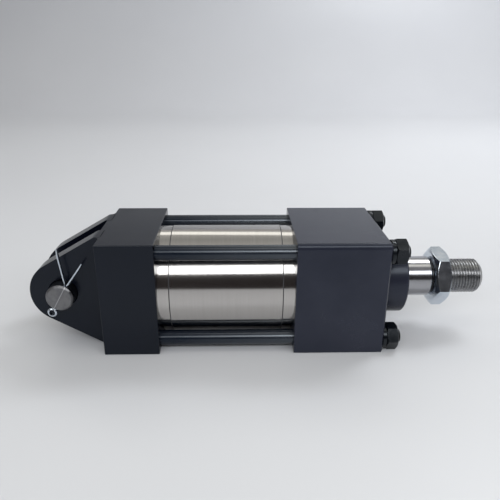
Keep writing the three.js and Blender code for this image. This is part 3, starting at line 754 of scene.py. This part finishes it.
def split_pin(name, y, angle):
    """One half-round wire folded in two: long leg, eye, short leg; angle is that of its hole."""
    along = Vector((math.cos(angle), 0, math.sin(angle)))
    across = Vector((math.sin(angle), 0, -math.cos(angle)))
    inner = 1.95 * MM
    eye = -PIN_R - 4.2 * MM
    neck = eye + inner + 1.5 * MM
    bend = math.radians(28)
    loop = [Vector((eye + inner * math.cos(a), inner * math.sin(a)))
            for a in [-bend - (TAU - 2 * bend) * k / 18 for k in range(19)]]
    # each point is a place along and across the pin's hole
    long_leg = [Vector((29.6, -15.1)) * MM, Vector((22.0, -9.6)) * MM, Vector((15.0, -4.4)) * MM,
                Vector((10.6, -1.2)) * MM, Vector((8.0, -0.12)) * MM, Vector((0, -0.03)) * MM,
                Vector((neck, -0.05 * MM))]
    short_leg = [Vector((neck, 0.05 * MM)), Vector((0, 0.03)) * MM, Vector((8.0, 0.06)) * MM,
                 Vector((11.0, 0.3)) * MM, Vector((20.0, 1.3)) * MM, Vector((28.1, 2.2)) * MM]
    path = smooth_path(long_leg + loop + short_leg, 5)
    rings = []
    for i, point in enumerate(path):
        ahead = path[min(i + 1, len(path) - 1)] - path[max(i - 1, 0)]
        ahead.normalize()
        outward = Vector((-ahead.y, ahead.x))
        taper = min(1.0, 0.55 + 0.15 * min(i, len(path) - 1 - i))
        ring = []
        for k in range(9):
            a = math.pi * k / 8
            out = point + outward * WIRE_R * 0.98 * taper * math.sin(a)
            middle = Vector((X_PIN, y + WIRE_R * taper * math.cos(a), AXIS))
            ring.append(middle + along * out.x + across * out.y)
        rings.append(ring)
    return from_rings(name, rings, closed=False, capped=True)


for side, angle in (("front", SPLIT_ANGLE), ("back", SPLIT_ANGLE + math.pi)):
    low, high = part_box(f"split_pin_{side}")
    mesh = split_pin(f"split_pin_{side}_shown", (low.y + high.y) / 2, angle)
    place(f"split_pin_{side}_shown", mesh, [ZINC], "pin", [f"split_pin_{side}"], 40)

# ---------- port plugs ----------
for name in ("port_plug_rear", "port_plug_front"):
    low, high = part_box(name)
    x, r = (low.x + high.x) / 2, (high.x - low.x) / 2
    angles = [TAU * j / 72 for j in range(72)]

    def plug_ring(y, radius_of):
        return [(x + radius_of(a) * math.cos(a), y, AXIS + radius_of(a) * math.sin(a)) for a in angles]

    rings = [
        plug_ring(low.y, lambda a: r), plug_ring(high.y - 0.5 * MM, lambda a: r),
        plug_ring(high.y, lambda a: r - 0.5 * MM), plug_ring(high.y, lambda a: 5.1 * MM),
        plug_ring(high.y - 0.5 * MM, lambda a: hexagon(PLUG_KEY, a)),
        plug_ring(high.y - PLUG_KEY_DEPTH, lambda a: hexagon(PLUG_KEY, a)),
        plug_ring(high.y - PLUG_KEY_DEPTH - 1 * MM, lambda a: 0.2 * MM)]
    mesh = from_rings(f"{name}_shown", rings, closed=False, capped=True)
    place(f"{name}_shown", mesh, [ZINC], "housing", [name])

# ---------- finishes of the CAD pieces that stay inside ----------
INSIDE = {
    "piston": STEEL, "piston_nut": OXIDE, "piston_seal_front": SEAL, "piston_seal_rear": SEAL,
    "piston_wear_ring": WEAR, "piston_o_ring": RUBBER, "rod_bush": BRONZE, "rod_seal": SEAL,
    "gland_o_ring": RUBBER, "tube_o_ring_front": RUBBER, "tube_o_ring_rear": RUBBER,
}
for node, material in INSIDE.items():
    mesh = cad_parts[node].data
    mesh.materials.clear()
    mesh.materials.append(material)

# ---------- floor, light and camera ----------
def floor_sheet():
    """A pale sheet that lies flat and sweeps up behind the object."""
    width, near, bend, radius, height = 7.0, -3.0, 1.1, 0.5, 1.0
    line = [(near, 0), (bend, 0)]
    line += [(bend + radius * math.sin(a), radius * (1 - math.cos(a)))
             for a in [math.pi / 2 * k / 24 for k in range(1, 25)]]
    line.append((bend + radius, height))
    bm = bmesh.new()
    sides = [[bm.verts.new((x, y, z)) for y, z in line] for x in (-width / 2, width / 2)]
    for i in range(len(line) - 1):
        bm.faces.new((sides[0][i], sides[1][i], sides[1][i + 1], sides[0][i + 1]))
    mesh = bpy.data.meshes.new("floor")
    bm.to_mesh(mesh)
    bm.free()
    mesh.polygons.foreach_set("use_smooth", [True] * len(mesh.polygons))
    m = Nodes("floor_sheet", (0.60, 0.606, 0.63), 0.42, 0.0)
    cloud = m.noise(3.0, detail=3)
    m.colour(m.mix(m.ramp(cloud, 0, 1, 0.35, 0.65), (0.592, 0.598, 0.622), (0.608, 0.614, 0.638)))
    m.roughness(m.ramp(cloud, 0.41, 0.43, 0.3, 0.7))
    mesh.materials.append(m.material)
    sheet = bpy.data.objects.new("floor", mesh)
    bpy.context.scene.collection.objects.link(sheet)


floor_sheet()


def soft_light(name, elevation, bearing, distance, size, watts, colour=(1, 1, 1)):
    """An area light that faces the object; bearing 0 is in front, 180 behind, in degrees."""
    light = bpy.data.lights.new(name, "AREA")
    light.shape = "RECTANGLE"
    light.size, light.size_y = size
    light.energy = watts
    light.color = colour
    lamp = bpy.data.objects.new(name, light)
    bpy.context.scene.collection.objects.link(lamp)
    up, side = math.radians(elevation), math.radians(bearing)
    away = Vector((math.cos(up) * math.sin(side), -math.cos(up) * math.cos(side), math.sin(up)))
    lamp.location = Vector((0, 0, AXIS)) + away * distance
    lamp.rotation_euler = away.to_track_quat("Z", "Y").to_euler()
    return lamp


soft_light("key", 39.4, 8, 1.3, (2.8, 0.37), 16.5, (0.97, 0.99, 1.0))
soft_light("overhead", 84, 0, 1.3, (2.0, 0.30), 2.2, (1.0, 0.98, 0.86))
soft_light("rim", 50, 165, 1.3, (2.6, 0.26), 2.6, (1.0, 1.0, 0.94))
backdrop = soft_light("backdrop", 0, 0, 0, (0.7, 0.5), 12.0, (0.94, 0.97, 1.0))
backdrop.location = (0.75, 0.55, 1.1)
backdrop.rotation_euler = Vector((0.25, -0.75, 1.1)).to_track_quat("Z", "Y").to_euler()

# the studio's brightness over an arc that runs from the front, overhead and down to the back
SKY = [
    (0.0, (0.036, 0.031, 0.031)), (0.16, (0.036, 0.032, 0.032)),
    (0.20, (0.20, 0.20, 0.22)), (0.30, (0.22, 0.22, 0.23)),
    (0.40, (0.42, 0.42, 0.42)), (0.50, (0.60, 0.59, 0.56)),
    (0.62, (0.42, 0.42, 0.40)), (0.72, (0.62, 0.61, 0.58)),
    (0.85, (0.50, 0.50, 0.50)), (1.0, (0.62, 0.62, 0.64))]


def studio_sky():
    """A world whose brightness depends only on the angle about the X axis, starting at the front."""
    world = bpy.data.worlds.new("studio")
    bpy.context.scene.world = world
    world.use_nodes = True
    tree = world.node_tree
    direction = tree.nodes.new("ShaderNodeTexCoord")
    parts = tree.nodes.new("ShaderNodeSeparateXYZ")
    flip = tree.nodes.new("ShaderNodeMath")
    flip.operation = "MULTIPLY"
    flip.inputs[1].default_value = -1
    angle = tree.nodes.new("ShaderNodeMath")
    angle.operation = "ARCTAN2"
    share = tree.nodes.new("ShaderNodeMath")
    share.operation = "DIVIDE"
    share.inputs[1].default_value = math.pi
    ramp = tree.nodes.new("ShaderNodeValToRGB")
    tree.links.new(direction.outputs["Generated"], parts.inputs[0])
    tree.links.new(parts.outputs["Y"], flip.inputs[0])
    tree.links.new(parts.outputs["Z"], angle.inputs[0])
    tree.links.new(flip.outputs[0], angle.inputs[1])
    tree.links.new(angle.outputs[0], share.inputs[0])
    tree.links.new(share.outputs[0], ramp.inputs[0])
    tree.links.new(ramp.outputs[0], tree.nodes["Background"].inputs[0])
    tree.nodes["Background"].inputs[1].default_value = 1.0
    while len(ramp.color_ramp.elements) < len(SKY):
        ramp.color_ramp.elements.new(0.5)
    for element, (position, colour) in zip(ramp.color_ramp.elements, SKY):
        element.position = position
        element.color = (*colour, 1)


studio_sky()

camera_data = bpy.data.cameras.new("camera")
camera_data.sensor_width = 36
camera_data.lens = LENS
camera_data.clip_start = 0.01
camera = bpy.data.objects.new("camera", camera_data)
bpy.context.scene.collection.objects.link(camera)
camera.location = Vector((X_REAR, 0, AXIS)) + CAMERA_OFFSET * SIDE
camera.rotation_euler = Euler([math.radians(a) for a in CAMERA_TURN], "XYZ")
bpy.context.scene.camera = camera
bpy.context.scene.view_settings.view_transform = "Standard"
